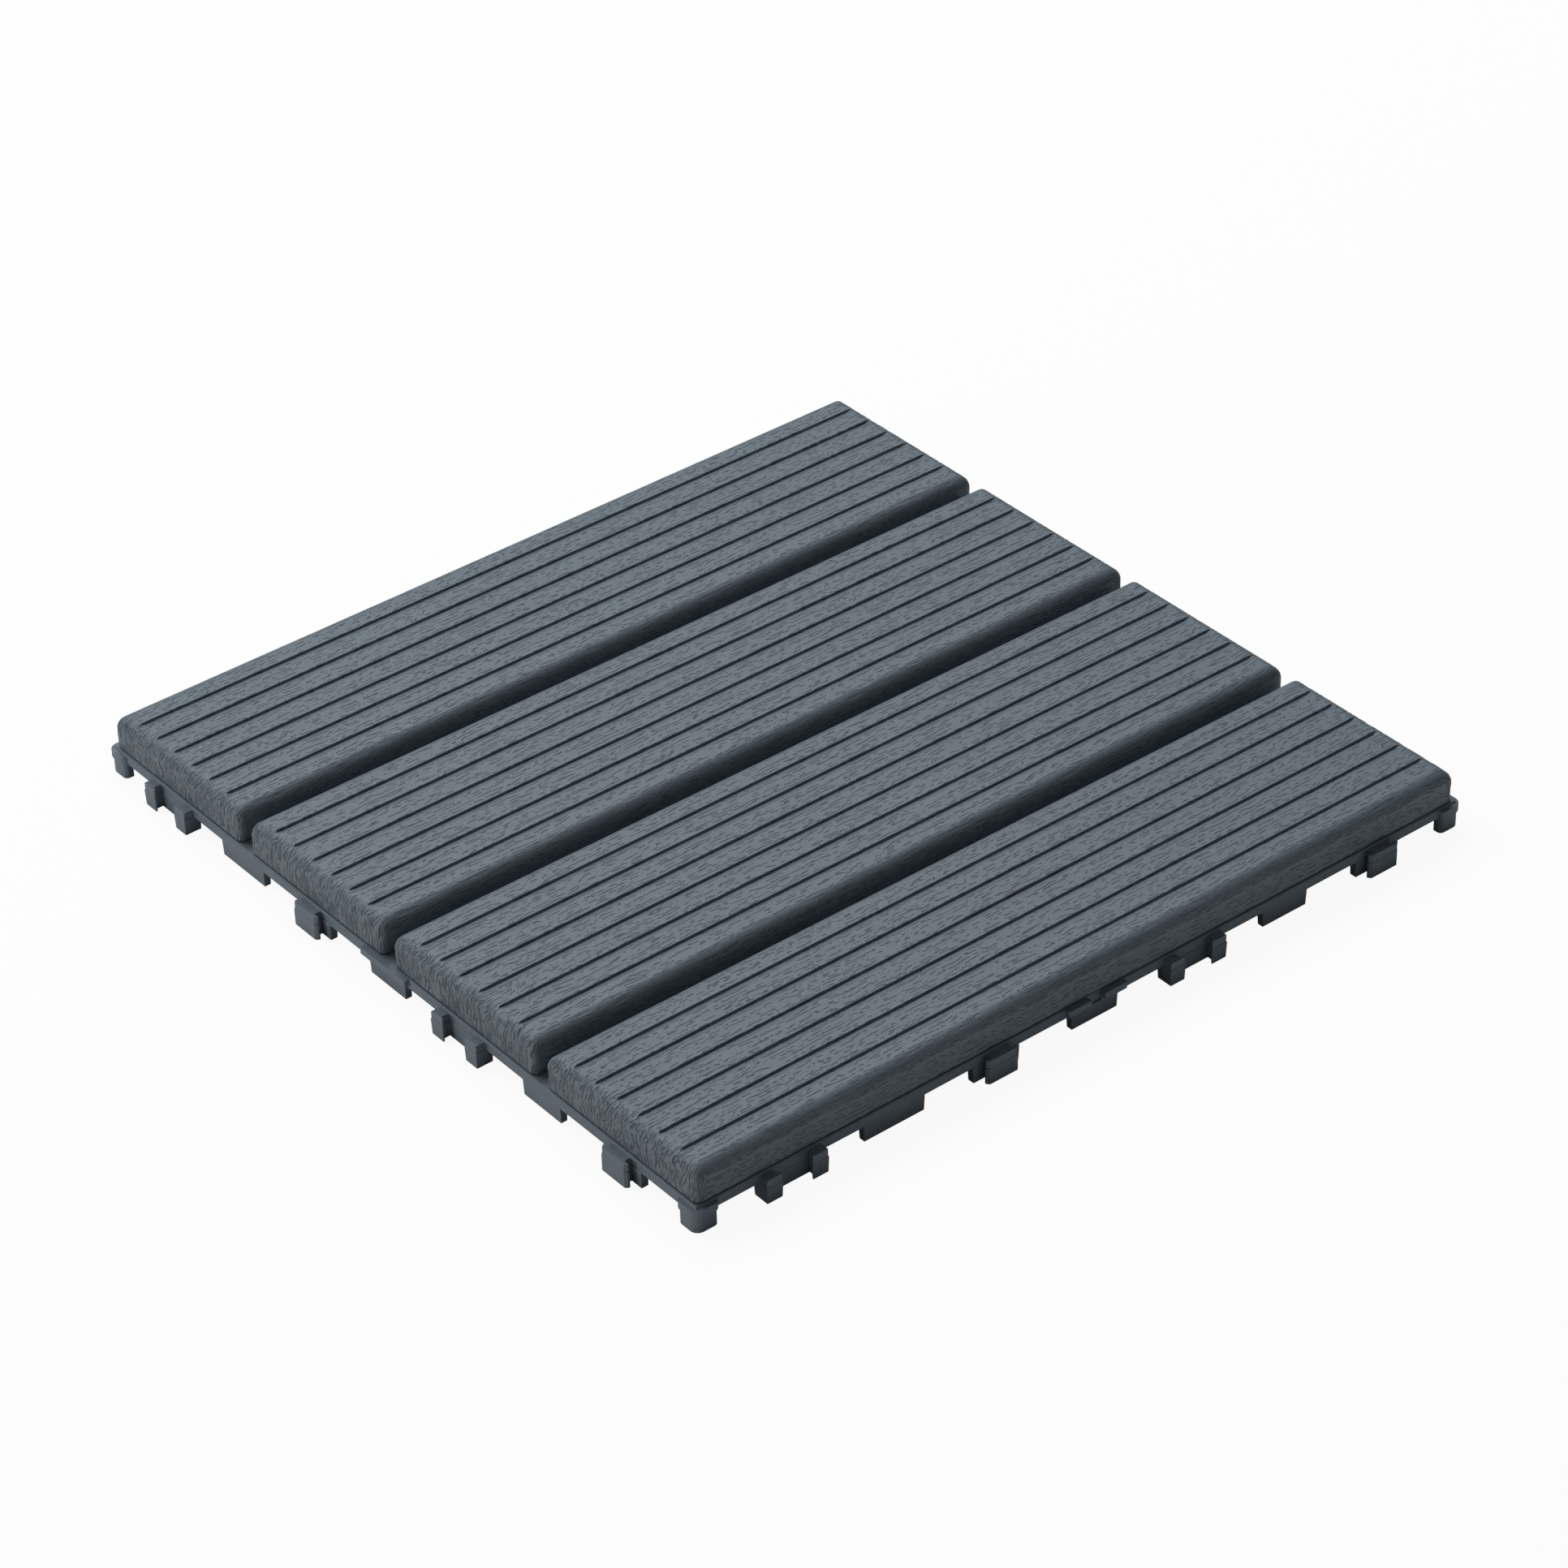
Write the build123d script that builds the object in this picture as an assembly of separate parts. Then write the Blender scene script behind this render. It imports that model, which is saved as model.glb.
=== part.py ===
"""Interlocking deck tile: four grooved slats snapped onto one moulded base.

Millimetres, +Z up. The origin is the centre of the tile's footprint on the floor.
Slats run along X and are set side by side along Y.
"""
from build123d import *

import os

# Laying pattern
tile_pitch = 300.0         # distance from one laid tile to the next
joint_gap = 4.2            # left between the rims of two laid tiles
slat_count = 4             # slats across one tile
slat_gap = 5.2             # drainage gap between two slats
rim_ledge = 0.7            # rim that shows outside the slats

# Heights above the floor
rim_top = 8.8              # top of the rim, which carries the slats
rim_height = 3.2           # height of the rim's outer face
lock_drop = 0.6            # tops of the locks below the rim's top
deck_top = 20.4            # top of the slats
foot_relief = 1.0          # underside of the lattice ribs above the floor

# Base walls
rim_wall = 2.6             # thickness of the rim, the skirts and the backs of the locks
band_thickness = 2.0       # floor plate inside the rim
lattice_per_slat = 3       # lattice cells under the width of one slat
lattice_rib = 2.0          # thickness of a lattice rib
pad_radius = 4.2           # six-sided feet under the lattice crossings
pad_sides = 6
pad_every = 3              # lattice crossings from one such foot to the next
edge_bevel = 0.4           # small bevel of moulded edges
head_bevel = 0.8           # bevel down the two front corners of a T-tab
draft_angle = 2.0          # degrees of taper on what points down from the rim
parting_step = 0.2         # lower part of a lock proud of its upper part
cut_margin = 1.0           # cuts run this far past the surface they open

# Locks, spaced along every side
lock_pitch = 38.1          # from one lock or skirt to the next
lock_reach = 3.5           # locks stand this far out of the rim
tab_head_width = 12.0      # head of the T-tab
tab_head_thickness = 1.5
tab_neck_width = 8.0
tab_back_width = 17.5      # wall behind the T-tab
socket_mouth = 10.7        # between the two hooks of a socket
socket_width = 22.5        # over both hooks
hook_lip_thickness = 0.9   # lip of a hook
tab_side_clearance = 0.6   # head of a tab to the inside of a socket

# Skirts and centre lips
wide_skirt = 22.6
narrow_skirt = 18.0
lip_width = 22.8           # centre lip along the rim
lip_reach = 1.7            # centre lip out of the rim
lip_thickness = 2.2
lip_notch = 5.2            # gap that splits the centre lip on two of the sides

# Corner feet, each an L-shaped wall
corner_foot_arm = 8.2      # length of each arm, along the outside
corner_foot_wall = 3.1     # thickness of an arm
corner_foot_reach = 1.0    # corner foot out of the rim
corner_foot_round = 2.8    # rounding at the tile's corner
corner_end_round = 1.6     # rounding at the end of each arm
corner_cap_extra = 0.5     # cap of the foot, wider than the foot where it shows

# Slats
slat_wall = 2.2
slat_edge_round = 4.5      # rounding of the top edges
slat_corner_round = 2.4    # rounding of the upright corners
shadow_gap = 0.4           # outer skin of a slat stops this far above the rim
shadow_depth = 0.8         # inset of the slat's seat behind its outer skin
slat_rib = 1.6
slat_cross_ribs = 3

# Grooves in a slat
groove_count = 6
groove_pitch = 9.7
groove_width = 2.6
groove_wall_place = 0.9    # top of the steep wall, from the middle of the groove's share of the slat
groove_depth = 1.0
groove_wall_run = 0.2      # the steep wall leans by this much
groove_mid_rise = 0.3      # floor halfway across, above the deepest line
groove_end = 2.4           # from the end of a groove to the end of the slat
groove_end_bevel = 2.2     # corner cut off in plan, on the steep side

# Snap hooks of the slats and their slots in the base
snap_columns = (-4, 0, 4)  # lattice cells, counted from the middle
snap_width = 8.0
snap_leg = 1.8
snap_barb = 1.2
snap_barb_height = 2.6
snap_clearance = 0.3
snap_bridge = 13.0         # plate that holds a slot, across the cell

# Worked out from the sizes above
rim_side = tile_pitch - joint_gap
rim_half = rim_side / 2
rim_bottom = rim_top - rim_height
lock_top = rim_top - lock_drop
slat_pitch = tile_pitch / slat_count
slat_width = slat_pitch - slat_gap
slat_length = rim_side - 2 * rim_ledge
lattice_pitch = slat_pitch / lattice_per_slat
lattice_lines = slat_count * lattice_per_slat
bridge_bottom = rim_top - band_thickness


def block(x_range, y_range, z_range):
    """A box between two limits on each axis."""
    spans = [high - low for low, high in (x_range, y_range, z_range)]
    middle = [(high + low) / 2 for low, high in (x_range, y_range, z_range)]
    return Pos(*middle) * Box(*spans)


def spread(count, pitch):
    """Places of evenly pitched things about zero."""
    return [(index - (count - 1) / 2) * pitch for index in range(count)]


def down_from_rim(outline):
    """Carry an outline from the rim's lower edge to the floor, tapering as it goes."""
    return extrude(Pos(0, 0, rim_bottom) * outline, amount=rim_bottom, dir=(0, 0, -1), taper=draft_angle)


def plate(outline, bottom, top):
    """Carry an outline straight up between two heights."""
    return extrude(Pos(0, 0, bottom) * outline, amount=top - bottom)


def outline_of(points):
    """Face of a closed outline. Points are along the side, then out of the rim."""
    return make_face(Polyline(*[(along, -rim_half - out) for along, out in points], close=True))


def wall_outline(width, out=0.0):
    """Outline of a wall under the rim, centred at zero."""
    half = width / 2
    return outline_of([(-half, -rim_wall), (half, -rim_wall), (half, out), (-half, out)])


def hook_outline(shrink=0.0):
    """L-shaped hook on the right of a socket, with its lip towards the mouth."""
    inner = tab_head_width / 2 + tab_side_clearance + shrink
    mouth = socket_mouth / 2 + shrink
    outer = socket_width / 2 - shrink
    front = lock_reach - shrink
    lip_back = lock_reach - hook_lip_thickness
    return outline_of([(inner, -rim_wall), (outer, -rim_wall), (outer, front), (mouth, front),
                       (mouth, lip_back), (inner, lip_back)])


def tab_outline(shrink=0.0):
    """T-tab: a neck out of the rim and a head plate along it."""
    neck = tab_neck_width / 2 - shrink
    head = tab_head_width / 2 - shrink
    front = lock_reach - shrink
    head_back = lock_reach - tab_head_thickness
    outline = outline_of([(-neck, -rim_wall), (neck, -rim_wall), (neck, head_back), (head, head_back),
                          (head, front), (-head, front), (-head, head_back), (-neck, head_back)])
    corners = outline.vertices().sort_by(Axis.Y)[:2]
    return chamfer(corners, head_bevel)


def socket():
    """Female lock: two hooks that face each other in front of a wall."""
    hook = down_from_rim(hook_outline()) + plate(hook_outline(parting_step), rim_bottom, lock_top)
    return down_from_rim(wall_outline(socket_width, parting_step)) + hook + mirror(hook, Plane.YZ)


def tab():
    """Male lock: a T-tab in front of a wall that is wider than its head."""
    return (down_from_rim(wall_outline(tab_back_width, parting_step)) + plate(tab_outline(), 0, rim_bottom)
            + plate(tab_outline(parting_step), rim_bottom, lock_top))


def skirt(width):
    """Plain stretch of wall that carries the rim down to the floor."""
    return down_from_rim(wall_outline(width))


def centre_lip(split):
    """Flat lip along the middle of a side, flush with the top of the rim."""
    half = lip_width / 2
    outline = outline_of([(-half, -rim_wall), (half, -rim_wall), (half, lip_reach), (-half, lip_reach)])
    outline = chamfer(outline.vertices().sort_by(Axis.Y)[:2], edge_bevel)
    lip = plate(outline, rim_top - lip_thickness, rim_top)
    if split:
        lip -= lip_notch_cut()
    return lip


def lip_notch_cut():
    """Room cut out of the lip and the upper part of the rim between the two half lips."""
    half = lip_notch / 2
    front = -rim_half - lip_reach - cut_margin
    return block((-half, half), (front, -rim_half + rim_ledge), (rim_bottom, rim_top + cut_margin))


def one_side(split_lip):
    """Everything along the side that faces -Y, in order along +X."""
    places = [index * lock_pitch for index in (-3, -2, -1, 0, 1, 2, 3)]
    pieces = [socket(), skirt(wide_skirt), tab(), skirt(narrow_skirt) + centre_lip(split_lip),
              socket(), skirt(narrow_skirt), tab()]
    return Part() + [Pos(place, 0, 0) * piece for place, piece in zip(places, pieces)]


def foot_outline(extra=0.0):
    """L-shaped wall of the corner foot at +X and -Y, with the corners that show rounded."""
    face = rim_half + corner_foot_reach
    outer, inner = face + extra, face - corner_foot_wall
    end = face - corner_foot_arm - extra
    corners = [(outer, -outer), (outer, -end), (inner, -end), (inner, -inner), (end, -inner), (end, -outer)]
    outline = make_face(Polyline(*corners, close=True))
    tip = outline.vertices().sort_by(lambda corner: corner.X - corner.Y)[-1]
    outline = fillet(tip, corner_foot_round + extra)
    across = outline.vertices().sort_by(lambda corner: corner.X + corner.Y)
    return fillet([across[0], across[-1]], corner_end_round + extra)


def corner_foot():
    """Foot at the corner of +X and -Y, with a cap that stands out from it."""
    return plate(foot_outline(), 0, rim_bottom) + plate(foot_outline(corner_cap_extra), rim_bottom, lock_top)


def rim():
    """Square rim and the floor band inside it."""
    inner = (lattice_lines - 1) * lattice_pitch
    outside = plate(Rectangle(rim_side, rim_side), rim_bottom, rim_top)
    outside = chamfer(outside.edges().group_by(Axis.Z)[-1], edge_bevel)
    rim_room = rim_side - 2 * rim_wall
    outside -= plate(Rectangle(rim_room, rim_room), 0, bridge_bottom)
    return outside - plate(Rectangle(inner, inner), 0, rim_top + cut_margin)


def lattice():
    """Ribs both ways under the slats, open between them, with feet at some crossings."""
    reach = (lattice_lines - 1) * lattice_pitch / 2 + lattice_rib / 2
    half = lattice_rib / 2
    lines = spread(lattice_lines, lattice_pitch)
    ribs = [block((-reach, reach), (line - half, line + half), (foot_relief, rim_top)) for line in lines]
    ribs += [Rot(0, 0, 90) * rib for rib in ribs]
    pad_lines = lines[1::pad_every]
    pad = Rot(0, 0, 180 / pad_sides) * RegularPolygon(pad_radius, pad_sides)
    pads = [plate(Pos(x, y, 0) * pad, 0, rim_bottom) for x in pad_lines for y in pad_lines]
    return Part() + ribs + pads


def snap_places():
    """Middle of every lattice cell that holds a snap hook, and the side its barb points to."""
    offset = lattice_pitch / 2
    rows = [(centre + side * offset, side) for centre in spread(slat_count, slat_pitch) for side in (-1, 1)]
    return [(column * lattice_pitch, row, side) for column in snap_columns for row, side in rows]


def snap_bridges():
    """Plates across lattice cells, slotted for the snap hooks."""
    half_cell = lattice_pitch / 2
    half_slot = snap_width / 2 + snap_clearance
    back = snap_leg / 2 + snap_barb - snap_clearance
    front = snap_leg / 2 + snap_clearance
    half_bridge = snap_bridge / 2
    solid = block((-half_cell, half_cell), (-half_bridge, half_bridge), (bridge_bottom, rim_top))
    slot = block((-half_slot, half_slot), (-back, front), (0, rim_top + cut_margin))
    bridge = solid - slot
    bridges = {1: bridge, -1: mirror(bridge, Plane.XZ)}
    return [Pos(x, y, 0) * bridges[side] for x, y, side in snap_places()]


def base():
    """The whole base moulding."""
    split, whole = one_side(True), one_side(False)
    turned = [Rot(0, 0, -90 * turn) * (split if turn % 2 == 0 else whole) for turn in range(4)]
    corners = [Rot(0, 0, 90 * turn) * corner_foot() for turn in range(4)]
    frame = rim() - [Rot(0, 0, 180 * turn) * lip_notch_cut() for turn in range(2)]
    return frame + lattice() + snap_bridges() + turned + corners


def rounded_box(length, width, bottom, top, edge, corner):
    """Upright box with rounded top edges and rounded upright corners."""
    body = block((-length / 2, length / 2), (-width / 2, width / 2), (bottom, top))
    body = fillet(body.edges().filter_by(Axis.Z), corner)
    return fillet(body.faces().sort_by(Axis.Z)[-1].edges(), edge)


def groove_cut():
    """One groove along X: a steep wall on the +Y side and a floor that rises towards -Y."""
    length = slat_length - 2 * groove_end
    wall_top = groove_wall_place
    wall_foot = wall_top - groove_wall_run
    near = wall_top - groove_width
    bottom = deck_top - groove_depth
    above = deck_top + cut_margin
    lead = groove_wall_run * cut_margin / groove_depth
    halfway = ((near + wall_foot) / 2, bottom + groove_mid_rise)
    section = make_face([
        Line((wall_top + lead, above), (wall_foot, bottom)),
        ThreePointArc((wall_foot, bottom), halfway, (near, deck_top)),
        Line((near, deck_top), (near, above)),
        Line((near, above), (wall_top + lead, above)),
    ])
    cut = extrude(Plane.YZ.offset(-length / 2) * section, amount=length)
    steep_ends = cut.edges().filter_by(Axis.X, reverse=True).sort_by(Axis.Y)[-2:]
    return chamfer(steep_ends, groove_end_bevel)


def snap_hook(side):
    """Leg with a barb that catches under its bridge. The barb points to the side given."""
    half = snap_leg / 2
    barb_top = bridge_bottom - snap_clearance / 2
    barb_bottom = barb_top - snap_barb_height
    tip = half + snap_barb
    section = make_face(Polyline((-half, rim_top), (-half, barb_bottom), (half, barb_bottom),
                                 (tip, barb_top - snap_barb / 2), (tip, barb_top),
                                 (half, barb_top), (half, rim_top), close=True))
    hook = extrude(Plane.YZ.offset(-snap_width / 2) * section, amount=snap_width)
    return hook if side > 0 else mirror(hook, Plane.XZ)


def slat():
    """One slat about its own middle: a hollow board with grooves, ribs and snap hooks."""
    skin_bottom = rim_top + shadow_gap
    outer = rounded_box(slat_length, slat_width, skin_bottom, deck_top, slat_edge_round, slat_corner_round)
    seat = [size - 2 * shadow_depth for size in (slat_length, slat_width)]
    seat_outline = RectangleRounded(*seat, slat_corner_round - shadow_depth)
    outer += plate(seat_outline, rim_top, skin_bottom + shadow_gap)
    inside = [size - 2 * slat_wall for size in (slat_length, slat_width)]
    ceiling = deck_top - slat_wall
    body = outer - block((-inside[0] / 2, inside[0] / 2), (-inside[1] / 2, inside[1] / 2), (0, ceiling))
    body -= [Pos(0, place, 0) * groove_cut() for place in spread(groove_count, groove_pitch)]

    half = slat_rib / 2
    rows = spread(2, lattice_pitch)
    rib_span = (snap_columns[-1] - snap_columns[0]) * lattice_pitch
    columns = spread(slat_cross_ribs, rib_span / (slat_cross_ribs - 1))
    reach_x, reach_y = inside[0] / 2 + half, inside[1] / 2 + half
    height = (rim_top, ceiling + half)
    long_ribs = [block((-reach_x, reach_x), (row - half, row + half), height) for row in rows]
    cross_ribs = [block((place - half, place + half), (-reach_y, reach_y), height) for place in columns]
    hooks = [Pos(column * lattice_pitch, side * lattice_pitch / 2, 0) * snap_hook(side)
             for column in snap_columns for side in (-1, 1)]
    return body + long_ribs + cross_ribs + hooks


def main():
    """Write one STEP file for each moulding."""
    os.makedirs("parts", exist_ok=True)
    export_step(base(), "parts/base.step")
    board = slat()
    for number, place in enumerate(reversed(spread(slat_count, slat_pitch)), start=1):
        export_step(Pos(0, place, 0) * board, f"parts/slat_{number}.step")


main()
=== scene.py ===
import math

import bmesh
import bpy
import numpy as np
from mathutils import Matrix, Vector


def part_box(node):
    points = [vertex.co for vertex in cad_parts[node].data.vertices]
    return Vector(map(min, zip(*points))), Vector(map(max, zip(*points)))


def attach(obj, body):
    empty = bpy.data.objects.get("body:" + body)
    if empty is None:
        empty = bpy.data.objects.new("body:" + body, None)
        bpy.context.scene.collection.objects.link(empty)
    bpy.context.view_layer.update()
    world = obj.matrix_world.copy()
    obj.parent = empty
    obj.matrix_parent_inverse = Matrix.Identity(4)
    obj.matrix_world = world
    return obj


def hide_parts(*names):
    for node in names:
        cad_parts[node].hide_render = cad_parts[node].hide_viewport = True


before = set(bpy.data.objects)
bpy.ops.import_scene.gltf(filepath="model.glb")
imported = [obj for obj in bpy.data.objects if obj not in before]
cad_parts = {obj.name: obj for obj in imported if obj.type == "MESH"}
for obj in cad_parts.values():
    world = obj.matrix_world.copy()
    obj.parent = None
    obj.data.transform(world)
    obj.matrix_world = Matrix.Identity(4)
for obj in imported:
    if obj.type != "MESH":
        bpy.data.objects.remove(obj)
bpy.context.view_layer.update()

bl_info = {
    "name": "Interlocking deck tile",
    "version": (1, 0, 0),
    "blender": (4, 5, 0),
    "location": "View3D > Sidebar > Deck tile",
    "description": "Four grained slats on a moulded base, with a pale studio stage",
    "category": "Object",
}

MM = 0.001                      # one millimetre, in metres
BODY = "root"
PAINTED_SHADE = "groove_shade"          # attribute: painted shade, 1 at the steep wall of a groove
SLATS = sorted(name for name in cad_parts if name.startswith("slat"))
SLAT_LOW, SLAT_HIGH = (np.array(corner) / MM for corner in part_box(SLATS[0]))
BASE_LOW, BASE_HIGH = (np.array(corner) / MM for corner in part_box("base"))
RIM_TOP = float(BASE_HIGH[2])
DECK_TOP = float(SLAT_HIGH[2])
SLAT_LENGTH, SLAT_WIDTH = (float(size) for size in (SLAT_HIGH - SLAT_LOW)[:2])
HOOK_BOTTOM = float(SLAT_LOW[2])

# Details of the slats and the base, in millimetres
GROOVE_WALL = 0.9                       # top of a groove's steep wall, from the groove's middle
GROOVE_WALL_RUN = 0.2                   # the steep wall leans by this much
GROOVE_MID_RISE = 0.35                  # a groove's floor halfway across, above its deepest line
GROOVE_END = SLAT_LENGTH / 2 - 2.4      # where the grooves stop
GROOVE_HOOK = 2.2                       # radius in plan of the hook at a groove's end
GROOVE_FADE = 3.4                       # a groove gets shallower over this length at its end
GROOVE_SHADE = (-1.2, -0.2)             # the shade grows over these places, from the steep wall's top
FLOOR_STEPS = (0, 0.12, 0.3, 0.55, 0.85, 1.15, 1.45, 1.75, 2.0, 2.2)    # mesh rows from the near edge
WALL_STEPS = (-0.2, -0.1, 0, 0.1)       # mesh rows about the top of the steep wall
LAND_STEP = 0.30                        # mesh rows on the lands between grooves
END_ZONE, END_COLUMNS = 4.5, 14         # finer mesh columns at each end of the flat top
MIDDLE_COLUMNS = 172                    # mesh columns between them
SEAM = 0.4                              # the outer skin stops this far above the rim
WALL = 2.2                              # thickness of the top and the walls
FOOT_TURN = (0.06, 0.35, 0.8, 0.8)      # the skin's foot turns in by these, and the last two are the seat
RIB_ROWS = (-12.5, 12.5)                # ribs along a slat, across from its middle
RIB_COLUMNS = (-100, 0, 100)            # ribs and hooks across a slat
RIB_LAP = 0.6                           # ribs run this far into the ceiling
RIB_END = 1.8                           # ribs stop this far inside the outline
GROOVE_GRAIN, EDGE_GRAIN, TOP_GRAIN = 0.3, 1.3, 0.5     # shares of the grain's depth

SOFT_BAND = 15.5                        # edges of the base this near its outline are softened

# Rows of dashes: how far the slow noise slides them, their spacing and width in millimetres, the pace of the
# noise along them, the least value of it that shows a dash, and what is added to the seed
TOP_DASHES = ((0.0, 1.50, 0.28, 0.34, 0.50, 0), (4.0, 1.90, 0.26, 0.50, 0.53, 5))
END_DASHES = ((0.0, 1.15, 0.36, 0.34, 0.42, 9), (2.0, 1.40, 0.32, 0.50, 0.50, 3))

# Finish of the surfaces
DUST_COLOUR = (0.62, 0.64, 0.64, 1)
WHITE = (1, 1, 1, 1)
PLASTIC_SHINE = 0.42                    # level of the plain reflection
MARK_DEPTH = 0.22                       # depth that the dashes seem to have, in millimetres
SPECKLE_DEPTH = 0.06                    # the same for the base's speckle
END_TURN = (SLAT_LENGTH / 2 - 4.4, SLAT_LENGTH / 2 - 0.6)   # where the grain turns down the ends

# Lamps: name, setting of the power, place and size in metres, colour
LAMPS = (("key_light", "key_power", (0.84, 1.45, 1.99), 1.5, (0.94, 0.98, 1.0)),
         ("back_light", "back_power", (-0.70, 1.58, 1.92), 1.3, (0.94, 0.98, 1.0)),
         ("side_light", "side_power", (-1.52, 0.40, 0.12), 0.5, (1.0, 0.97, 0.93)))

# The fitted camera, in pixels of the photograph: its width, focal length and the centre of the lens
PICTURE_WIDTH = 1932
FOCAL_LENGTH = 6253.348
LENS_CENTRE = (947.865, 967.864)
SENSOR_WIDTH = 36.0                     # millimetres


# Sizes and colours that a user would change

class DeckSlatSettings(bpy.types.PropertyGroup):
    """Sizes and finish of the slats."""
    colour: bpy.props.FloatVectorProperty(
        name="Colour", description="Colour of the slats", subtype="COLOR", size=3, min=0, max=1,
        default=(0.118, 0.150, 0.179))
    grain_depth: bpy.props.FloatProperty(
        name="Grain depth", description="Depth of the embossed wood grain", default=0.10 * MM,
        unit="LENGTH")
    edge_round: bpy.props.FloatProperty(
        name="Edge rounding", description="Radius of the top edges", default=4.5 * MM, unit="LENGTH")
    corner_round: bpy.props.FloatProperty(
        name="Corner rounding", description="Radius of the upright corners", default=2.4 * MM,
        unit="LENGTH")
    groove_pitch: bpy.props.FloatProperty(
        name="Groove pitch", description="Distance between grooves", default=9.7 * MM, unit="LENGTH")
    groove_width: bpy.props.FloatProperty(
        name="Groove width", description="Width of a groove", default=2.6 * MM, unit="LENGTH")
    groove_depth: bpy.props.FloatProperty(
        name="Groove depth", description="Depth of a groove at its steep wall", default=0.85 * MM,
        unit="LENGTH")
    groove_count: bpy.props.IntProperty(
        name="Grooves", description="Grooves in one slat", default=6, min=1)
    roughness: bpy.props.FloatProperty(
        name="Roughness", description="Roughness of the moulded surface", default=0.5, min=0, max=1)


class DeckBaseSettings(bpy.types.PropertyGroup):
    """Finish of the base."""
    colour: bpy.props.FloatVectorProperty(
        name="Colour", description="Colour of the base", subtype="COLOR", size=3, min=0, max=1,
        default=(0.110, 0.138, 0.166))
    edge_round: bpy.props.FloatProperty(
        name="Edge rounding", description="Softening of the base's moulded edges", default=0.34 * MM,
        unit="LENGTH")
    roughness: bpy.props.FloatProperty(
        name="Roughness", description="Roughness of the moulded surface", default=0.52, min=0, max=1)


class DeckStageSettings(bpy.types.PropertyGroup):
    """Floor, lights and camera."""
    floor_colour: bpy.props.FloatVectorProperty(
        name="Floor", description="Colour of the floor", subtype="COLOR", size=3, min=0, max=1,
        default=(0.90, 0.89, 0.88))
    floor_glow: bpy.props.FloatProperty(
        name="Floor paleness", description="How far the camera sees the floor as plain white",
        default=0.93, min=0, max=1)
    floor_size: bpy.props.FloatProperty(
        name="Floor size", description="Side of the square floor", default=8.0, unit="LENGTH")
    sky_strength: bpy.props.FloatProperty(
        name="Sky", description="Strength of the even light all round", default=0.15, min=0)
    key_power: bpy.props.FloatProperty(
        name="Key light", description="Power of the large lamp above and behind the tile", default=34.0,
        min=0)
    back_power: bpy.props.FloatProperty(
        name="Back light", description="Power of the second lamp behind the tile", default=31.0, min=0)
    side_power: bpy.props.FloatProperty(
        name="Side light", description="Power of the low lamp on the left", default=6.5, min=0)
    aim: bpy.props.FloatVectorProperty(
        name="Aim", description="Point that the camera looks at", size=3, unit="LENGTH",
        default=(-0.00684, -0.00530, 0.010))
    distance: bpy.props.FloatProperty(
        name="Distance", description="From the camera to its aim", default=1.56477, unit="LENGTH")
    azimuth: bpy.props.FloatProperty(
        name="Azimuth", description="Direction of the camera round the tile", subtype="ANGLE",
        default=math.radians(-127.823))
    elevation: bpy.props.FloatProperty(
        name="Elevation", description="Height of the camera as an angle", subtype="ANGLE",
        default=math.radians(35.3637))
    roll: bpy.props.FloatProperty(
        name="Roll", description="Turn of the camera about its line of sight", subtype="ANGLE",
        default=math.radians(-1.8053))


# Meshes from arrays

def add_mesh(name, points, faces, smooth=True, shade=None):
    """Object at the origin from an array of points in millimetres and lists of corner numbers. A shade from
    0 to 1 at each point is kept as the attribute that the material reads."""
    mesh = bpy.data.meshes.new(name)
    mesh.from_pydata((np.asarray(points, float) * MM).tolist(), [], faces)
    mesh.validate()
    mesh.polygons.foreach_set("use_smooth", np.full(len(mesh.polygons), smooth))
    mesh.update()
    if shade is not None:
        mesh.attributes.new(PAINTED_SHADE, "FLOAT", "POINT").data.foreach_set("value", shade)
    thing = bpy.data.objects.new(name, mesh)
    bpy.context.scene.collection.objects.link(thing)
    return thing


def grid_faces(rows, columns):
    """Four-cornered faces of a grid whose points are numbered row by row."""
    corner = np.arange(rows - 1)[:, None] * columns + np.arange(columns - 1)[None, :]
    return np.stack([corner, corner + 1, corner + columns + 1, corner + columns], -1).reshape(-1, 4)


def smooth_step(low, high, value):
    """0 below low, 1 above high, and the cubic 3t^2 - 2t^3 between them."""
    share = np.clip((value - low) / (high - low), 0, 1)
    return share * share * (3 - 2 * share)


def lattice_noise(points, cell, seed):
    """Smooth noise from 0 to 1: random values at the corners of boxes of the given cell size, blended by
    the cubic 3t^2 - 2t^3 along each axis."""
    values = np.random.default_rng(seed).random(4096)
    place = points / np.asarray(cell, float)
    whole = np.floor(place).astype(np.int64)
    share = place - whole
    share = share * share * (3 - 2 * share)
    total = np.zeros(points.shape[:-1])
    for corner in np.ndindex(2, 2, 2):
        at = whole + np.array(corner)
        pick = (at[..., 0] * 73856093 ^ at[..., 1] * 19349663 ^ at[..., 2] * 83492791) % len(values)
        weight = np.prod(np.where(np.array(corner) == 1, share, 1 - share), axis=-1)
        total += weight * values[pick]
    return total


# Slats

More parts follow.
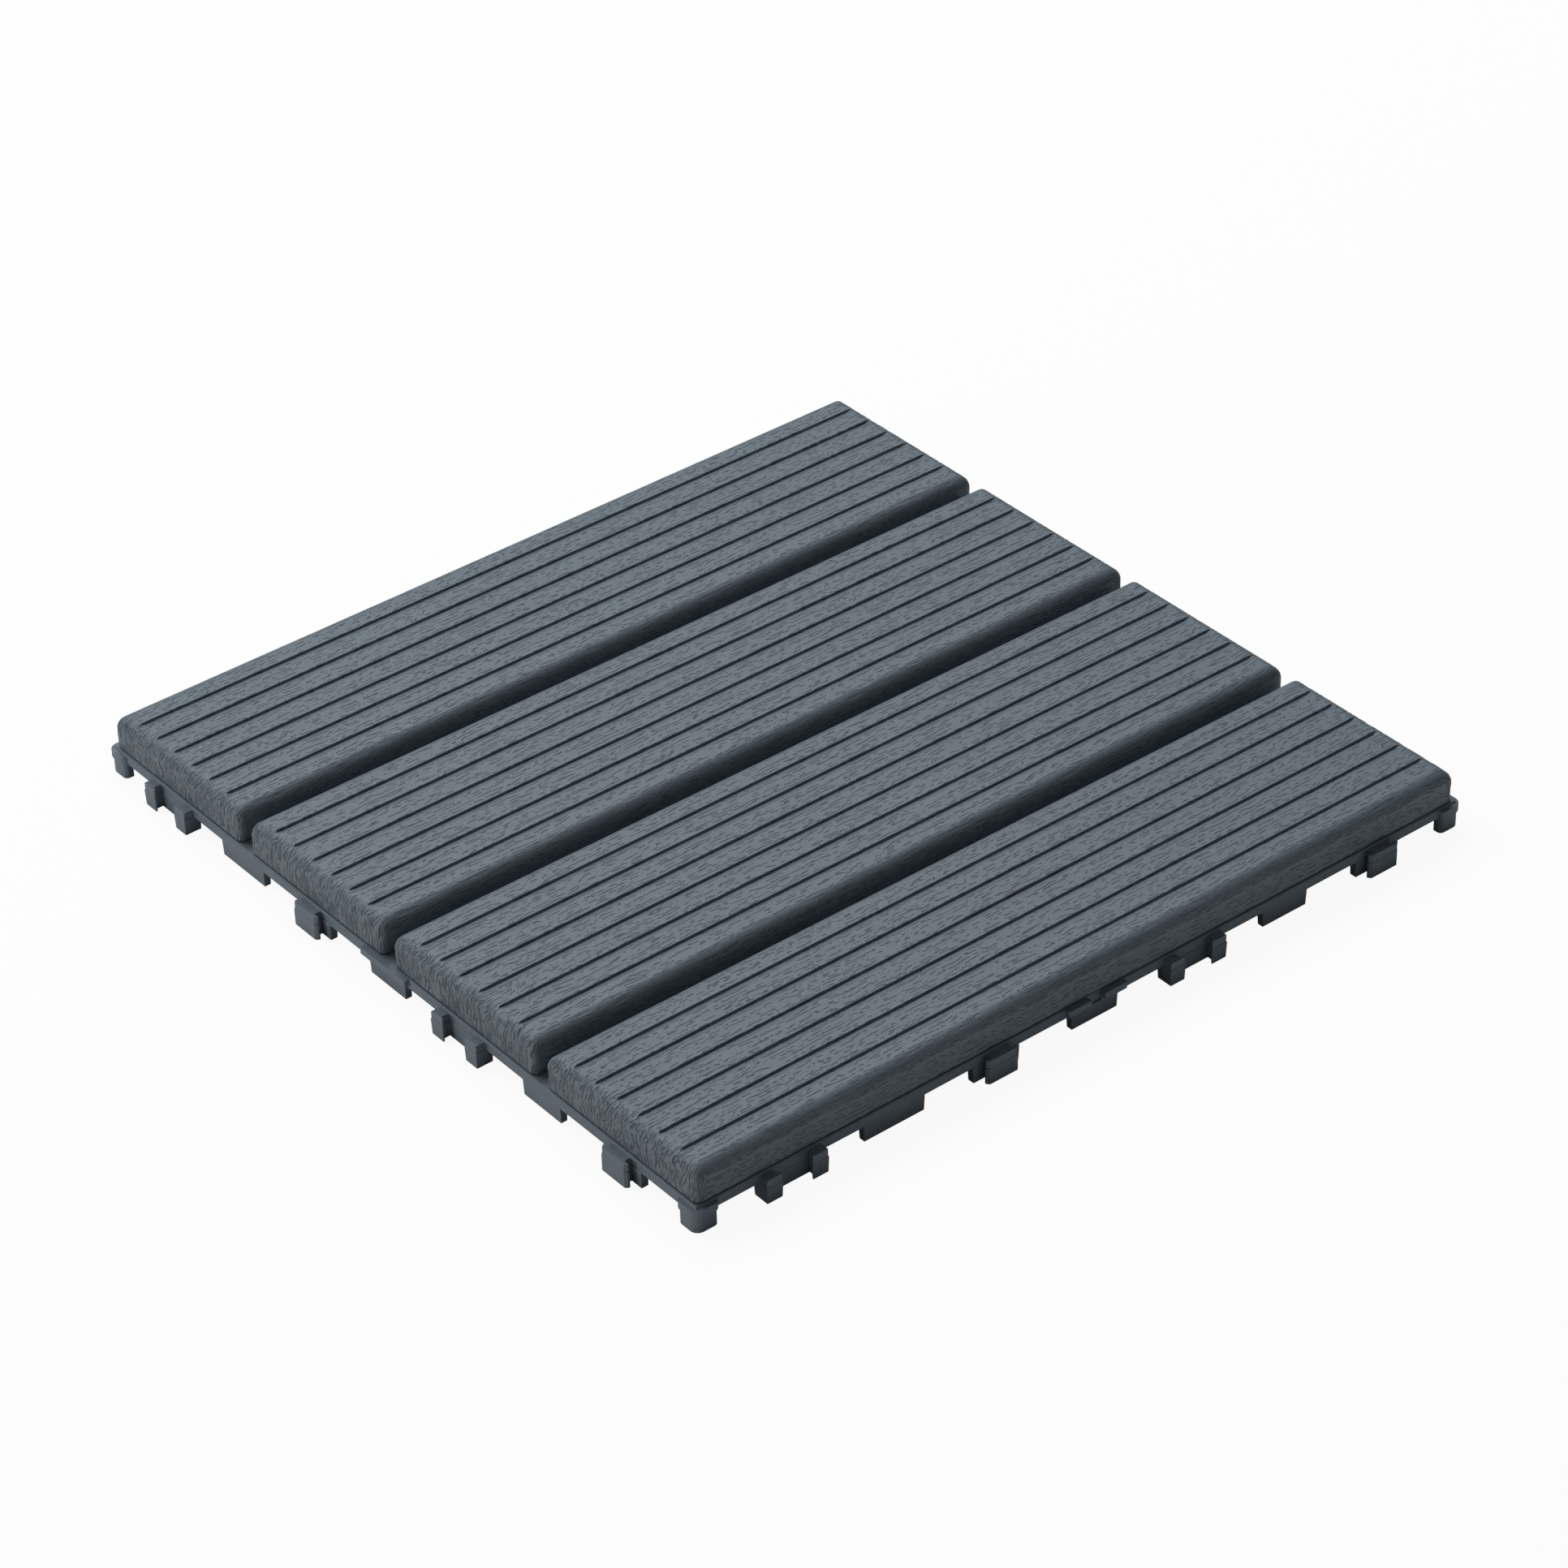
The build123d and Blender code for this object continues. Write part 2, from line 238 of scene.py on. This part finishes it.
def fold_path(edge):
    """The path of a slat's skin from its flat top outwards and down, as distance out and distance down.

    A quarter circle of the edge's radius, straight down to the foot, in to the seat, down to the rim, and
    up the inside of the wall. The number of the ring at the foot comes back as well."""
    drop = DECK_TOP - RIM_TOP - SEAM
    at_groove = math.asin(min((GROOVE_END - (SLAT_LENGTH / 2 - edge)) / edge, 1))
    turn = np.sort(np.append(np.linspace(0, math.pi / 2, 19)[1:], [at_groove, at_groove + 0.02]))
    side = np.linspace(edge, drop - 0.3, 14)[1:]
    out = np.concatenate([edge * np.sin(turn), np.full(len(side), edge)])
    down = np.concatenate([edge * (1 - np.cos(turn)), side])
    foot = len(out)
    out = np.append(out, edge - np.array([*FOOT_TURN, WALL, WALL]))
    down = np.append(down, [drop - 0.06, drop, drop, drop + SEAM, drop + SEAM, WALL])
    return np.append(0, out), np.append(0, down), foot


def axis_places(flat, rings):
    """Along one axis: the flat places, each side's ring numbers, and the sign of the side."""
    ring = np.concatenate([np.arange(rings, 0, -1), np.zeros(len(flat), int), np.arange(1, rings + 1)])
    place = np.concatenate([np.full(rings, flat[0]), flat, np.full(rings, flat[-1])])
    sign = np.concatenate([-np.ones(rings), np.zeros(len(flat)), np.ones(rings)])
    return place, ring, sign


def corner_reach(angle, edge, corner):
    """Distance from the inner corner of a square of side edge to its outline, whose far corner has the
    radius corner: edge / cos or edge / sin on the straight parts, and the ray's far crossing of the circle
    between."""
    cos, sin = np.cos(angle), np.sin(angle)
    middle = edge - corner
    straight = edge / np.maximum(np.maximum(cos, sin), 1e-9)
    side = straight * np.minimum(cos, sin)
    both = middle * (cos + sin)
    circle = both + np.sqrt(np.maximum(both ** 2 - 2 * middle ** 2 + corner ** 2, 0))
    return np.where(side <= middle, straight, circle)


def groove_rows(settings):
    """Places across the flat top, the same places from the middle of their groove, and the near edge of a
    groove. The places are dense at each steep wall and even on the lands. Before the first groove the
    second list holds nan."""
    near = GROOVE_WALL - settings.groove_width / MM
    past = GROOVE_WALL + WALL_STEPS[-1]
    inside = np.append(near + np.array(FLOOR_STEPS), GROOVE_WALL + np.array(WALL_STEPS))
    count = settings.groove_count
    centres = (np.arange(count) - (count - 1) / 2) * settings.groove_pitch / MM
    flat_half = (SLAT_WIDTH - 2 * settings.edge_round / MM) / 2
    cuts = [edge for centre in centres for edge in (centre + near, centre + past)]
    edges = [-flat_half, *cuts, flat_half]
    places, local = [], []
    for number in range(count + 1):
        low, high = edges[2 * number], edges[2 * number + 1]
        land = np.linspace(low, high, max(int((high - low) / LAND_STEP), 2) + 1)
        land = land[number > 0:len(land) - (number < count)]
        places.append(land)
        local.append(np.full(len(land), np.nan) if number == 0 else land - centres[number - 1])
        if number < count:
            places.append(centres[number] + inside)
            local.append(inside)
    return np.concatenate(places), np.concatenate(local), near


def groove_floor(across, near, depth):
    """Height of a groove's floor: the parabola through its near edge, its deepest line, and the middle rise
    above that line halfway between."""
    foot = GROOVE_WALL - GROOVE_WALL_RUN
    share = (across - (near + foot) / 2) / ((foot - near) / 2)
    middle = depth - GROOVE_MID_RISE
    return -(middle + depth / 2 * share + (depth / 2 - middle) * share ** 2)


def cut_grooves(x, y, z, local, near, depth):
    """New y and z, which points lie in a groove, and their shade. Local is each point's place from the
    middle of its groove, or nan.

    In plan the steep wall is straight and then turns by a quarter circle: wall - r + r sqrt(1 - t^2), for t
    from 0 to 1 along the last r. The rows near the wall move with it. Across a groove, the higher of the
    floor's parabola and the wall's slope holds, and both get shallower towards the end."""
    along = np.abs(x)
    turned = np.clip((along - (GROOVE_END - GROOVE_HOOK)) / GROOVE_HOOK, 0, 1)
    wall = GROOVE_WALL - GROOVE_HOOK + GROOVE_HOOK * np.sqrt(1 - turned ** 2)
    wall = wall + (GROOVE_WALL - wall) * smooth_step(GROOVE_END, GROOVE_END + 1.6, along)
    shift = wall - GROOVE_WALL
    inside = ~np.isnan(local)
    hold = GROOVE_WALL - 0.5
    squeezed = near + (local - near) * (hold + shift - near) / (hold - near)
    pushed = local + shift * (1 - smooth_step(GROOVE_WALL + 0.1, GROOVE_WALL + 3.0, local))
    across = np.where(inside, np.where(local < hold, squeezed, pushed), np.inf)
    y = np.where(inside, y + (across - local), y)

    cut = inside & (across > near) & (across < wall) & (along < GROOVE_END)
    across = np.where(cut, across, 0)
    floor = np.maximum(groove_floor(across, near, depth), (across - wall) * (depth / GROOVE_WALL_RUN))
    fade = 1 - 0.7 * smooth_step(GROOVE_END - GROOVE_FADE, GROOVE_END, along)
    lowered = np.where(cut, DECK_TOP + np.minimum(floor, 0) * fade, np.inf)
    in_groove = lowered < z
    shade = in_groove * smooth_step(*GROOVE_SHADE, across - wall)
    return y, np.minimum(z, lowered), in_groove, shade


def emboss(points, seed, ring, foot, in_groove, depth):
    """The points lowered along the surface's normal by the grain: less on the flat top and in the grooves,
    hardly at the foot, and not at all inside."""
    normal = np.cross(np.gradient(points, axis=1), np.gradient(points, axis=0))
    normal /= np.maximum(np.linalg.norm(normal, axis=-1, keepdims=True), 1e-9)
    share = np.where(in_groove, GROOVE_GRAIN, np.where(ring > 0, EDGE_GRAIN, TOP_GRAIN))
    relief = grain(points, seed) * depth * (ring <= foot) * share
    relief *= 1 - 0.8 * smooth_step(foot - 2, foot, ring)
    return points - normal * relief[..., None]


def slat_skin(settings, seed):
    """Points, faces and groove shade of one slat about its own middle, in millimetres.

    The surface is a function of two grid numbers. Its flat top is a plane, and past each edge the larger of
    the two ring numbers follows the fold path, so that the rings close round the corners. The grooves lower
    the top, and the grain lowers every outer point along its normal."""
    edge, corner = settings.edge_round / MM, settings.corner_round / MM
    out, down, foot = fold_path(edge)
    rings = len(out) - 1
    flat_x = SLAT_LENGTH / 2 - edge
    near_end = flat_x - END_ZONE
    columns = np.concatenate([np.linspace(-flat_x, -near_end, END_COLUMNS)[:-1],
                              np.linspace(-near_end, near_end, MIDDLE_COLUMNS),
                              np.linspace(near_end, flat_x, END_COLUMNS)[1:]])
    rows, local, near = groove_rows(settings)
    place_x, ring_x, sign_x = axis_places(columns, rings)
    place_y, ring_y, sign_y = axis_places(rows, rings)

    kx, ky = np.meshgrid(ring_x, ring_y)
    u, v = np.meshgrid(place_x, place_y)
    sx, sy = np.meshgrid(sign_x, sign_y)
    ring = np.maximum(kx, ky)
    share = np.minimum(kx, ky) / np.maximum(ring, 1)
    angle = np.where(kx >= ky, share, 2 - share) * math.pi / 4
    reach = corner_reach(angle, edge, corner) * out[ring] / edge
    x = u + sx * np.cos(angle) * reach
    y = v + sy * np.sin(angle) * reach
    z = DECK_TOP - down[ring]
    local = np.pad(local, rings, constant_values=np.nan)
    local = np.where(ky == 0, local[:, None], np.nan)
    y, z, in_groove, shade = cut_grooves(x, y, z, local, near, settings.groove_depth / MM)
    points = emboss(np.stack([x, y, z], -1), seed, ring, foot, in_groove, settings.grain_depth / MM)

    count_y, count_x = x.shape
    faces = grid_faces(count_y, count_x).tolist()
    number = np.arange(count_y * count_x).reshape(count_y, count_x)
    last = np.concatenate([number[0, :-1], number[:-1, -1], number[-1, :0:-1], number[:0:-1, 0]])
    faces.append(last[::-1].tolist())
    return points.reshape(-1, 3), faces, shade.ravel()


def grain(points, seed):
    """Depth of the embossed grain, from 0 to 1.

    Noise stretched along X makes strokes on the top and the long sides, and noise stretched along Z makes
    them on the end faces. Each is bent by slower noise and kept only where it is high, and on the top a
    third noise breaks it up."""
    slow = lattice_noise(points, (34, 9, 9), seed) - 0.5
    bent = points + slow[..., None] * np.array([0.0, 2.4, 2.4])
    along = lattice_noise(bent, (6.0, 0.62, 0.62), seed + 1)
    breaks = lattice_noise(points, (3.4, 1.6, 1.6), seed + 3)
    on_top = smooth_step(0.62, 0.82, along) * smooth_step(0.3, 0.6, breaks)
    wave = lattice_noise(points, (6, 6, 3.2), seed + 4) - 0.5
    bent = points + wave[..., None] * np.array([0.0, 1.6, 0.0])
    upright = lattice_noise(bent, (2.0, 0.8, 4.2), seed + 5)
    at_end = smooth_step(0.5, 0.72, upright)
    share = smooth_step(SLAT_LENGTH / 2 - 3.4, SLAT_LENGTH / 2 - 0.6, np.abs(points[..., 0]))
    return on_top * (1 - share) + at_end * share


def bar(section, start, end, axis):
    """A closed bar: a flat section carried along X or Y. The section's points are across and up."""
    section = np.asarray(section, float)
    count = len(section)
    sides = [np.column_stack([np.full(count, place), section]) for place in (start, end)]
    points = np.concatenate(sides)
    if axis == "Y":
        points = points[:, [1, 0, 2]]
    ring = np.arange(count)
    after = np.roll(ring, -1)
    faces = np.stack([ring, after, after + count, ring + count], -1).tolist()
    faces += [ring[::-1].tolist(), (ring + count).tolist()]
    if axis == "Y":
        faces = [face[::-1] for face in faces]
    return points, faces


def slat_ribs():
    """Ribs and snap hooks inside a slat, as closed bars whose tops run into its ceiling."""
    ceiling = DECK_TOP - WALL + RIB_LAP
    half_x, half_y = SLAT_LENGTH / 2 - RIB_END, SLAT_WIDTH / 2 - RIB_END
    rib = np.array([(-0.7, RIM_TOP), (0.7, RIM_TOP), (0.9, ceiling), (-0.9, ceiling)])
    bars = [bar(rib + (row, 0), -half_x, half_x, "X") for row in RIB_ROWS]
    bars += [bar(rib + (column, 0), -half_y, half_y, "Y") for column in RIB_COLUMNS]
    hook = np.array([(-0.9, RIM_TOP + 1), (-0.9, HOOK_BOTTOM), (0.9, HOOK_BOTTOM), (2.1, HOOK_BOTTOM + 2.0),
                     (2.1, HOOK_BOTTOM + 2.6), (0.9, HOOK_BOTTOM + 2.6), (0.9, RIM_TOP + 1)])
    for column in RIB_COLUMNS:
        for side, row in zip((-1, 1), RIB_ROWS):
            section = (hook * (side, 1) + (row, 0))[::side]
            bars.append(bar(section, column - 4, column + 4, "X"))
    points, faces, total = [], [], 0
    for bar_points, bar_faces in bars:
        points.append(bar_points)
        faces += [[corner + total for corner in face] for face in bar_faces]
        total += len(bar_points)
    return np.concatenate(points), faces


# Shader maths

class Value:
    """A socket that takes part in sums. Each operation adds one Math node."""

    def __init__(self, paint, socket):
        self.paint, self.socket = paint, socket

    def __add__(self, other):
        return self.paint.maths("ADD", self, other)

    def __mul__(self, other):
        return self.paint.maths("MULTIPLY", self, other)

    def __sub__(self, other):
        return self.paint.maths("SUBTRACT", self, other)

    def __rsub__(self, other):
        return self.paint.maths("SUBTRACT", other, self)

    __radd__, __rmul__ = __add__, __mul__


class Paint:
    """The nodes of a material or a world, added one at a time."""

    def __init__(self, owner):
        self.owner = owner
        owner.use_nodes = True
        owner.node_tree.nodes.clear()

    def node(self, kind, settings=None, inputs=None, output=0):
        """One node: its settings are set first, then the values or links of its sockets."""
        made = self.owner.node_tree.nodes.new(kind)
        for name, setting in (settings or {}).items():
            setattr(made, name, setting)
        for name, value in (inputs or {}).items():
            if isinstance(value, Value):
                self.owner.node_tree.links.new(value.socket, made.inputs[name])
            else:
                made.inputs[name].default_value = value
        return Value(self, made.outputs[output]) if made.outputs else None

    def maths(self, operation, first, second=0.0):
        """One Math node."""
        return self.node("ShaderNodeMath", {"operation": operation}, {0: first, 1: second})

    def place(self):
        """Object coordinates in millimetres."""
        metres = self.node("ShaderNodeTexCoord", output="Object")
        return self.node("ShaderNodeVectorMath", {"operation": "SCALE"}, {0: metres, "Scale": 1 / MM})

    def part(self, vector, axis):
        """One number of a vector."""
        return self.node("ShaderNodeSeparateXYZ", None, {0: vector}, axis)

    def vector(self, x, y, z):
        """A vector from three numbers."""
        return self.node("ShaderNodeCombineXYZ", None, {"X": x, "Y": y, "Z": z})

    def stretched(self, vector, scale, offset=(0, 0, 0)):
        """A vector scaled by three numbers, for a pattern that is longer one way."""
        return self.node("ShaderNodeMapping", {"vector_type": "POINT"},
                         {"Vector": vector, "Scale": scale, "Location": offset})

    def noise(self, vector, detail=0.0):
        """Smooth noise about 0.5, with finer layers when detail is more than 0."""
        return self.node("ShaderNodeTexNoise", {"noise_dimensions": "3D"},
                         {"Vector": vector, "Scale": 1.0, "Detail": detail})

    def step(self, value, low, high, at_low=0.0, at_high=1.0):
        """Runs smoothly from at_low to at_high as value goes from low to high."""
        return self.node("ShaderNodeMapRange", {"interpolation_type": "SMOOTHSTEP"},
                         {"Value": value, "From Min": low, "From Max": high, "To Min": at_low,
                          "To Max": at_high})

    def dashes(self, table, across, slow, along, seed):
        """Rows of dashes: one thin line in each spacing across, moved a little at random, and kept only
        where the row's own noise along it is above the least value. The layers of the table are added."""
        total = 0.0
        for slide, spacing, width, pace, least, extra in table:
            row = (across + slow * slide) * (1 / spacing) + (seed + extra)
            number = self.maths("FLOOR", row)
            chance = self.node("ShaderNodeTexWhiteNoise", {"noise_dimensions": "1D"}, {"W": number})
            away = self.maths("ABSOLUTE", row - number - 0.5 - (chance - 0.5) * 0.5)
            line = self.step(away, width / spacing * 0.25, width / spacing * 0.75, 1.0, 0.0)
            kept = self.noise(self.vector(along * pace, number * 5.37, seed + extra))
            total = line * self.step(kept, least, least + 0.06) + total
        return total

    def shaded(self, colour, level):
        """A colour multiplied by a level."""
        return self.node("ShaderNodeVectorMath", {"operation": "SCALE"}, {0: colour, "Scale": level})

    def finish(self, colour, roughness, height, distance):
        """Surface of moulded plastic from its varying colour, roughness and height."""
        normal = self.node("ShaderNodeBump", None, {"Height": height, "Distance": distance})
        surface = self.node("ShaderNodeBsdfPrincipled", None,
                            {"Base Color": colour, "Roughness": roughness, "Normal": normal,
                             "Specular IOR Level": PLASTIC_SHINE})
        self.node("ShaderNodeOutputMaterial", None, {"Surface": surface})
        return self.owner


def slat_paint(settings, name, middle, seed):
    """Grained, matt plastic: rows of dashes along the slat that turn down its four sides, fine pits and a
    few dust specks. Middle is the slat's place along Y in millimetres."""
    paint = Paint(bpy.data.materials.new(name))
    place = paint.place()
    x, y, z = (paint.part(place, axis) for axis in "XYZ")

    # Measures along and across the surface, which go on down the ends and the long sides
    drop = DECK_TOP - z
    end = paint.step(paint.maths("ABSOLUTE", x), *END_TURN)
    along = x + paint.maths("SIGN", x) * drop * end
    across = y + paint.maths("SIGN", y - middle) * drop * (1 - end)

    # Marks: dashes that wander more on the ends, and pits
    moved = paint.vector(along, across, seed)
    bend = paint.noise(paint.stretched(moved, (0.06, 0.10, 1)), 3.0) - 0.5
    sway = paint.noise(paint.stretched(moved, (0.17, 0.15, 1), (3, 7, 0)), 1.0) - 0.5
    bent = across + bend * (3.4 + end * 2.4) + sway * end * 3.6
    top = paint.dashes(TOP_DASHES, bent, bend, along, seed)
    upright = paint.dashes(END_DASHES, bent, sway, along, seed)
    pits = paint.step(paint.noise(paint.stretched(place, (1.3, 2.2, 2.2))), 0.72, 0.80)
    marks = paint.maths("MINIMUM", top * (1 - end) + upright * end + pits * 0.5, 1.0)

    # Tone: painted shade in the grain's dashes and pits, stronger on the ends, painted shade on the end
    # faces, and painted shade at the grooves' steep walls
    groove = paint.node("ShaderNodeAttribute", {"attribute_name": PAINTED_SHADE}, output="Fac")
    cloud = paint.noise(paint.stretched(place, (0.02, 0.05, 0.05)), 2.0) - 0.5
    speckle = paint.noise(paint.stretched(place, (3.2, 3.2, 3.2)), 1.0) - 0.5
    level = 1.0 - end * 0.05 - marks * (0.32 + end * 0.18) + cloud * 0.10 + speckle * 0.10
    # painted shade: the groove attribute darkens the colour at the grooves' steep walls
    plain = paint.shaded((*settings.colour,), level * (1 - groove * 0.05))
    cells = paint.node("ShaderNodeTexVoronoi", {"feature": "F1"},
                       {"Vector": paint.stretched(place, (0.045, 0.045, 0.045)), "Scale": 1.0}, "Distance")
    dust = paint.step(cells, 0.008, 0.016, 1.0, 0.0)
    colour = paint.node("ShaderNodeMix", {"data_type": "RGBA"}, {0: dust, 6: plain, 7: DUST_COLOUR}, 2)
    roughness = settings.roughness + marks * 0.12 + speckle * 0.1
    return paint.finish(colour, roughness, 1.0 - marks + speckle * 0.15, MARK_DEPTH * MM)


def base_paint(settings):
    """Matt moulded plastic with a fine speckle, small pale specks and slow changes of tone."""
    paint = Paint(bpy.data.materials.new("base_moulding"))
    place = paint.place()
    speckle = paint.noise(paint.stretched(place, (2.6, 2.6, 2.6)), 2.0)
    cloud = paint.noise(paint.stretched(place, (0.07, 0.07, 0.12)), 2.0) - 0.5
    specks = paint.step(paint.noise(paint.stretched(place, (2.2, 2.2, 2.2), (3, 1, 4))), 0.70, 0.80)
    level = 1.0 + (speckle - 0.5) * 0.6 + cloud * 0.3 + specks * 0.5
    roughness = settings.roughness + (speckle - 0.5) * 0.2
    return paint.finish(paint.shaded((*settings.colour,), level), roughness, speckle, SPECKLE_DEPTH * MM)


def floor_paint(settings):
    """Pale floor that keeps the tile's shadow, and that the camera sees as nearly white."""
    paint = Paint(bpy.data.materials.new("floor_pale"))
    seen = paint.node("ShaderNodeLightPath", output="Is Camera Ray")
    plain = paint.node("ShaderNodeBsdfDiffuse", None, {"Color": (*settings.floor_colour, 1)})
    white = paint.node("ShaderNodeEmission", None, {"Color": WHITE, "Strength": 1.0})
    surface = paint.node("ShaderNodeMixShader", None, {0: seen * settings.floor_glow, 1: plain, 2: white})
    paint.node("ShaderNodeOutputMaterial", None, {"Surface": surface})
    return paint.owner


def sky_paint(settings):
    """Even world light, which the camera sees as white."""
    paint = Paint(bpy.data.worlds.new("sky"))
    seen = paint.node("ShaderNodeLightPath", output="Is Camera Ray")
    light = paint.node("ShaderNodeBackground", None, {"Color": WHITE, "Strength": settings.sky_strength})
    white = paint.node("ShaderNodeBackground", None, {"Color": WHITE, "Strength": 1.0})
    surface = paint.node("ShaderNodeMixShader", None, {0: seen, 1: light, 2: white})
    paint.node("ShaderNodeOutputWorld", None, {"Surface": surface})
    return paint.owner


# Pieces

class DeckSlats(bpy.types.Operator):
    """Add the four slats, each with its own grain, in place of the plain solids"""
    bl_idname = "deck_tile.add_slats"
    bl_label = "Add the slats"

    def execute(self, context):
        settings = context.scene.deck_slats
        rib_points, rib_faces = slat_ribs()
        for number, name in enumerate(SLATS):
            low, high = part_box(name)
            middle = (low.y + high.y) / 2 / MM
            points, faces, shade = slat_skin(settings, 100 * (number + 1))
            total = len(points)
            points = np.concatenate([points, rib_points]) + (0, middle, 0)
            faces = faces + [[corner + total for corner in face] for face in rib_faces]
            shade = np.append(shade, np.zeros(len(rib_points)))
            slat = add_mesh(f"{name}_board", points, faces, shade=shade)
            paint = slat_paint(settings, f"slat_plastic_{number + 1}", middle, 7.3 * number)
            slat.data.materials.append(paint)
            flatten_ribs(slat, total)
            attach(slat, BODY)
            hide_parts(name)
        return {"FINISHED"}


def flatten_ribs(slat, first):
    """Flat shading for the faces of the ribs, which start at the given point."""
    lowest = np.zeros(len(slat.data.loops), int)
    slat.data.loops.foreach_get("vertex_index", lowest)
    starts = np.zeros(len(slat.data.polygons), int)
    slat.data.polygons.foreach_get("loop_start", starts)
    slat.data.polygons.foreach_set("use_smooth", lowest[starts] < first)


class DeckBase(bpy.types.Operator):
    """Add the base with softened edges, made from the solid's own merged mesh"""
    bl_idname = "deck_tile.add_base"
    bl_label = "Add the base"

    def execute(self, context):
        settings = context.scene.deck_base
        base = bpy.data.objects.new("base_frame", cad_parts["base"].data.copy())
        context.scene.collection.objects.link(base)
        merge_mesh(base.data, BASE_HIGH[0] - SOFT_BAND)
        soften = base.modifiers.new("soft_edges", "BEVEL")
        soften.width, soften.segments, soften.limit_method = settings.edge_round, 2, "WEIGHT"
        soften.use_clamp_overlap = True
        base.data.materials.clear()
        base.data.materials.append(base_paint(settings))
        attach(base, BODY)
        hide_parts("base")
        return {"FINISHED"}


def merge_mesh(mesh, inner):
    """Join a solid's loose triangles into flat faces, and mark its sharp edges outside a square for
    softening."""
    work = bmesh.new()
    work.from_mesh(mesh)
    bmesh.ops.remove_doubles(work, verts=work.verts, dist=0.002 * MM)
    bmesh.ops.dissolve_limit(work, angle_limit=math.radians(1), verts=work.verts, edges=work.edges)
    weight = work.edges.layers.float.new("bevel_weight_edge")
    for edge in work.edges:
        middle = (edge.verts[0].co + edge.verts[1].co) / 2 / MM
        outside = max(abs(middle.x), abs(middle.y)) > inner
        sharp = len(edge.link_faces) == 2 and edge.calc_face_angle(0) > math.radians(35)
        edge[weight] = 1.0 if outside and sharp else 0.0
    for face in work.faces:
        face.smooth = False
    work.to_mesh(mesh)
    work.free()


class DeckStage(bpy.types.Operator):
    """Add the pale floor, the soft lights and the camera"""
    bl_idname = "deck_tile.add_stage"
    bl_label = "Add the stage"

    def execute(self, context):
        settings = context.scene.deck_stage
        half = settings.floor_size / 2 / MM
        floor = add_mesh("floor", [(-half, -half, 0), (half, -half, 0), (half, half, 0), (-half, half, 0)],
                         [(0, 1, 2, 3)], smooth=False)
        floor.data.materials.append(floor_paint(settings))
        context.scene.world = sky_paint(settings)
        for name, power, place, size, colour in LAMPS:
            add_lamp(name, place, getattr(settings, power), size, colour)
        add_camera(context.scene, settings)
        context.scene.view_settings.view_transform = "Standard"
        return {"FINISHED"}


def add_lamp(name, place, power, size, colour):
    """A square area lamp, in metres, that points at the tile."""
    light = bpy.data.lights.new(name, "AREA")
    light.energy, light.shape, light.size, light.color = power, "SQUARE", size, colour
    lamp = bpy.data.objects.new(name, light)
    bpy.context.scene.collection.objects.link(lamp)
    lamp.location = place
    lamp.rotation_euler = (-Vector(place)).to_track_quat("-Z", "Y").to_euler()


def add_camera(scene, settings):
    """Camera at the photograph's angle: its line of sight from azimuth and elevation, turned by its roll."""
    data = bpy.data.cameras.new("camera")
    camera = bpy.data.objects.new("camera", data)
    scene.collection.objects.link(camera)
    back = Vector((math.cos(settings.azimuth) * math.cos(settings.elevation),
                   math.sin(settings.azimuth) * math.cos(settings.elevation), math.sin(settings.elevation)))
    right = Vector((0, 0, 1)).cross(back).normalized()
    up = back.cross(right)
    turned = right * math.cos(settings.roll) + up * math.sin(settings.roll)
    axes = Matrix((turned, back.cross(turned), back)).transposed()
    camera.matrix_world = Matrix.Translation(Vector(settings.aim) + back * settings.distance) @ axes.to_4x4()
    data.sensor_width = SENSOR_WIDTH
    data.lens = FOCAL_LENGTH / PICTURE_WIDTH * SENSOR_WIDTH
    data.shift_x = (PICTURE_WIDTH / 2 - LENS_CENTRE[0]) / PICTURE_WIDTH
    data.shift_y = (LENS_CENTRE[1] - PICTURE_WIDTH / 2) / PICTURE_WIDTH
    data.clip_end = 100
    scene.camera = camera


class DeckPanel(bpy.types.Panel):
    """Lists the deck tile's pieces and their settings"""
    bl_idname = "VIEW3D_PT_deck_tile"
    bl_label = "Deck tile"
    bl_space_type = "VIEW_3D"
    bl_region_type = "UI"
    bl_category = "Deck tile"

    def draw(self, context):
        for operator, group in PANEL_ROWS:
            self.layout.operator(operator.bl_idname)
            settings = getattr(context.scene, group)
            for name in settings.__annotations__:
                self.layout.prop(settings, name)


PANEL_ROWS = ((DeckSlats, "deck_slats"), (DeckBase, "deck_base"), (DeckStage, "deck_stage"))
GROUPS = (("deck_slats", DeckSlatSettings), ("deck_base", DeckBaseSettings),
          ("deck_stage", DeckStageSettings))
CLASSES = (DeckSlatSettings, DeckBaseSettings, DeckStageSettings, DeckSlats, DeckBase, DeckStage, DeckPanel)


def register():
    for item in CLASSES:
        bpy.utils.register_class(item)
    for name, group in GROUPS:
        setattr(bpy.types.Scene, name, bpy.props.PointerProperty(type=group))


def unregister():
    for name, _ in GROUPS:
        delattr(bpy.types.Scene, name)
    for item in reversed(CLASSES):
        bpy.utils.unregister_class(item)


def main():
    """Register the add-on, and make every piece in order."""
    register()
    bpy.ops.deck_tile.add_slats()
    bpy.ops.deck_tile.add_base()
    bpy.ops.deck_tile.add_stage()
    bpy.context.view_layer.update()


if __name__ == "__main__":
    main()
